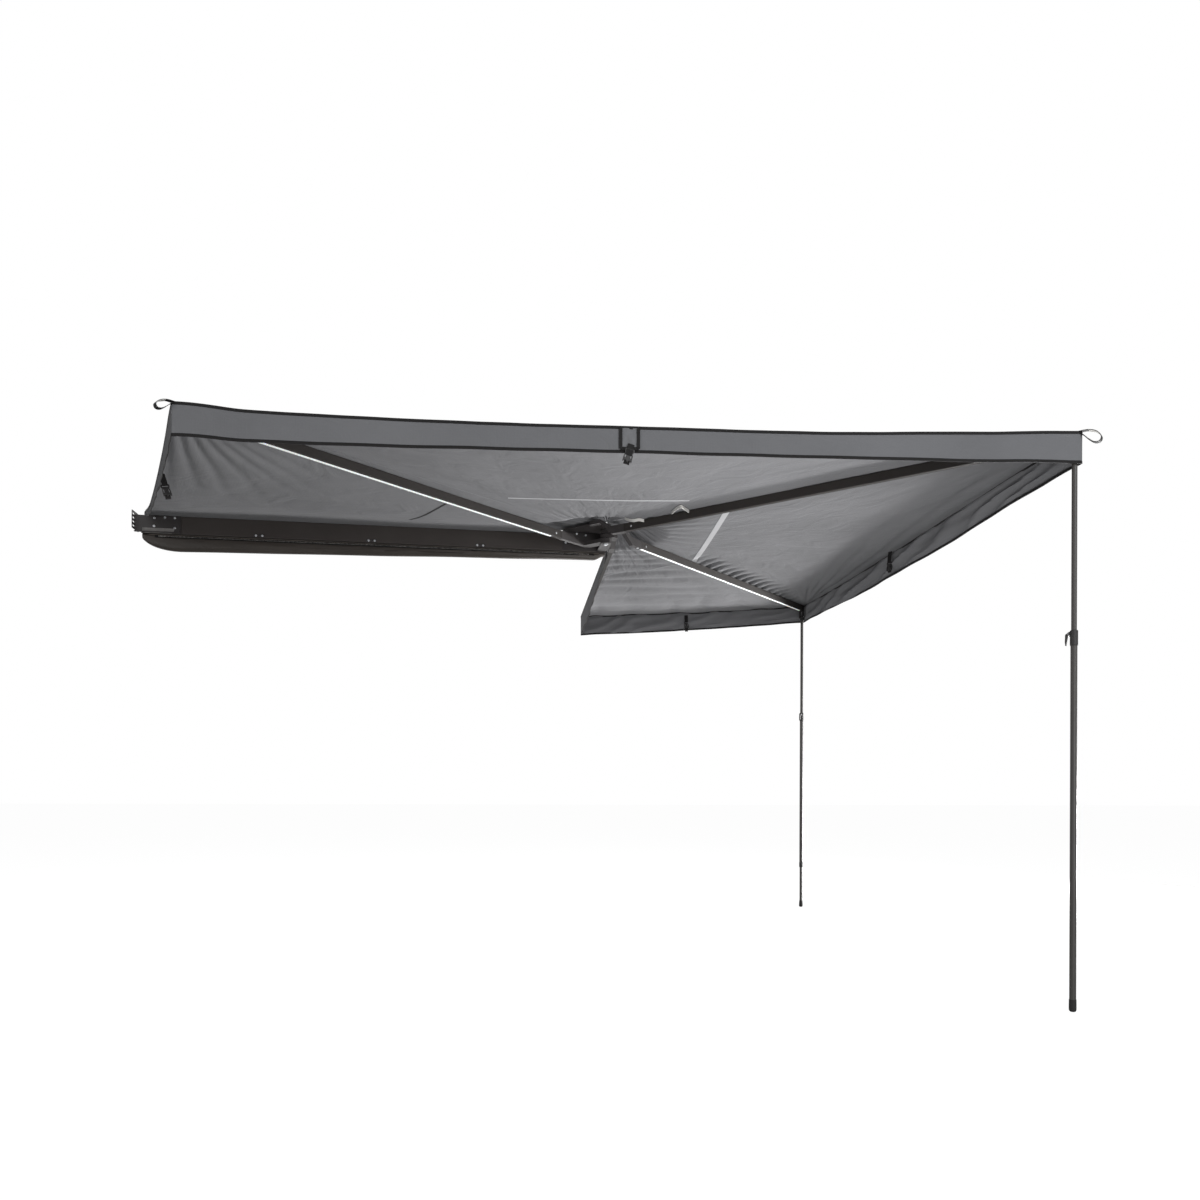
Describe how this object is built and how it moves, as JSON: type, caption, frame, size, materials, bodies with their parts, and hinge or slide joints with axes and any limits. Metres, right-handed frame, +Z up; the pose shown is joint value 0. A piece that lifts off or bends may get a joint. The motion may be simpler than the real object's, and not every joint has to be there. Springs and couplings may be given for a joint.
{
  "type": "vehicle side awning",
  "caption": "Swing-out vehicle side awning: four arms on one corner knuckle, grey cloth panels with hanging valances, light strips and folding telescopic legs.",
  "frame": {"origin": "centre of the back face of the wall rail", "axes": "+Y towards the vehicle, +X along the rail towards the knuckle, +Z up"},
  "size_m": [4.0285, 3.9496, 2.2375],
  "materials": {
    "black_alloy": "black powder coat on aluminium",
    "black_steel": "black powder coat on steel",
    "bright_steel": "bright zinc",
    "dark_alloy": "drawn and anodised dark grey",
    "black_plastic": "fine matt moulding",
    "black_rubber": "matt",
    "light_lens": "white diffusing strip",
    "grey_cloth": "coated ripstop, matt",
    "dark_cloth": "coated canvas, slight sheen"
  },
  "bodies": {
    "rail": {"mounting_rail": "black_alloy", "rail_end_cap_left": "black_plastic", "rail_end_cap_right": "black_plastic", "mount_bracket": "black_steel", "knuckle_channel": "black_steel", "knuckle_pin": "bright_steel", "knuckle_nut": "bright_steel", "knuckle_washer_1": "bright_steel", "knuckle_washer_2": "bright_steel", "knuckle_washer_3": "bright_steel", "strap_clip_1": "black_steel", "strap_clip_2": "black_steel", "strap_clip_3": "black_steel", "bracket_plate": "black_steel", "storage_bag": "dark_cloth"},
    "arm_a": {"arm_a_bracket": "black_steel", "arm_a_tube": "black_alloy", "arm_a_bolt": "bright_steel", "arm_a_end_cap": "black_plastic", "arm_a_light": "light_lens", "canopy_panel_1": "grey_cloth", "valance_left": "grey_cloth"},
    "arm_b": {"arm_b_bracket": "black_steel", "arm_b_tube": "black_alloy", "arm_b_bolt": "bright_steel", "arm_b_fork": "black_steel", "leg_b_pin": "bright_steel", "canopy_panel_2": "grey_cloth", "valance_near": "grey_cloth"},
    "arm_c": {"arm_c_bracket": "black_steel", "arm_c_tube": "black_alloy", "arm_c_bolt": "bright_steel", "arm_c_light": "light_lens", "arm_c_fork": "black_steel", "leg_c_pin": "bright_steel", "canopy_panel_3": "grey_cloth", "valance_right": "grey_cloth"},
    "arm_d": {"arm_d_bracket": "black_steel", "arm_d_tube": "black_alloy", "arm_d_bolt": "bright_steel", "arm_d_end_cap": "black_plastic", "canopy_panel_4": "grey_cloth", "valance_far": "grey_cloth", "valance_end": "grey_cloth"},
    "leg_b": {"leg_b_head": "black_plastic", "leg_b_upper_tube": "dark_alloy"},
    "leg_b_lower": {"leg_b_collar": "black_plastic", "leg_b_lower_tube": "dark_alloy", "leg_b_lever_pin": "bright_steel", "leg_b_foot": "black_rubber"},
    "leg_b_clamp": {"leg_b_lever": "black_plastic"},
    "leg_c": {"leg_c_head": "black_plastic", "leg_c_upper_tube": "dark_alloy"},
    "leg_c_lower": {"leg_c_collar": "black_plastic", "leg_c_lower_tube": "dark_alloy", "leg_c_lever_pin": "bright_steel", "leg_c_ferrule": "black_plastic"},
    "leg_c_clamp": {"leg_c_lever": "black_plastic"},
    "leg_c_bottom": {"leg_c_bottom_tube": "dark_alloy", "leg_c_foot": "black_rubber"}
  },
  "joints": [
    {"name": "arm_d_swing", "type": "hinge", "parent": "rail", "child": "arm_d", "pos_m": [1.16, -0.215, 0.005], "axis": [0, 0, 1], "range_deg": [-268, 0], "deforming": ["canopy_panel_4", "valance_far", "valance_end"]},
    {"name": "arm_a_swing", "type": "hinge", "parent": "rail", "child": "arm_a", "pos_m": [1.16, -0.215, 0.005], "axis": [0, 0, 1], "range_deg": [-43.05, 0], "deforming": ["canopy_panel_1", "valance_left"]},
    {"name": "arm_b_swing", "type": "hinge", "parent": "rail", "child": "arm_b", "pos_m": [1.16, -0.215, 0.005], "axis": [0, 0, 1], "range_deg": [-136.05, 0], "deforming": ["canopy_panel_2", "valance_near"]},
    {"name": "arm_c_swing", "type": "hinge", "parent": "rail", "child": "arm_c", "pos_m": [1.16, -0.215, 0.005], "axis": [0, 0, 1], "range_deg": [-226.05, 0], "deforming": ["canopy_panel_3", "valance_right"]},
    {"name": "leg_b_fold", "type": "hinge", "parent": "arm_b", "child": "leg_b", "pos_m": [2.71143, -1.86473, -0.075], "axis": [0.6947, 0.7193, 0], "range_deg": [0, 90]},
    {"name": "leg_b_slide", "type": "slide", "parent": "leg_b", "child": "leg_b_lower", "axis": [0, 0, 1], "range_m": [0, 0.62]},
    {"name": "leg_b_lever_swing", "type": "hinge", "parent": "leg_b_lower", "child": "leg_b_clamp", "pos_m": [2.69747, -1.85125, -0.746], "axis": [-0.6947, -0.7193, 0], "range_deg": [-100, 0]},
    {"name": "leg_c_fold", "type": "hinge", "parent": "arm_c", "child": "leg_c", "pos_m": [2.79437, 1.36516, -0.075], "axis": [-0.7193, 0.6947, 0], "range_deg": [0, 90]},
    {"name": "leg_c_slide", "type": "slide", "parent": "leg_c", "child": "leg_c_lower", "axis": [0, 0, 1], "range_m": [0, 0.62]},
    {"name": "leg_c_lever_swing", "type": "hinge", "parent": "leg_c_lower", "child": "leg_c_clamp", "pos_m": [2.7809, 1.3512, -0.78], "axis": [0.7193, -0.6947, 0], "range_deg": [-100, 0]},
    {"name": "leg_c_bottom_slide", "type": "slide", "parent": "leg_c_lower", "child": "leg_c_bottom", "axis": [0, 0, 1], "range_m": [0, 0.235]}
  ],
  "couplings": [
    {"joint": "arm_a_swing", "follows": "arm_d_swing", "ratio": 0.16045},
    {"joint": "arm_b_swing", "follows": "arm_d_swing", "ratio": 0.50746},
    {"joint": "arm_c_swing", "follows": "arm_d_swing", "ratio": 0.84328}
  ]
}
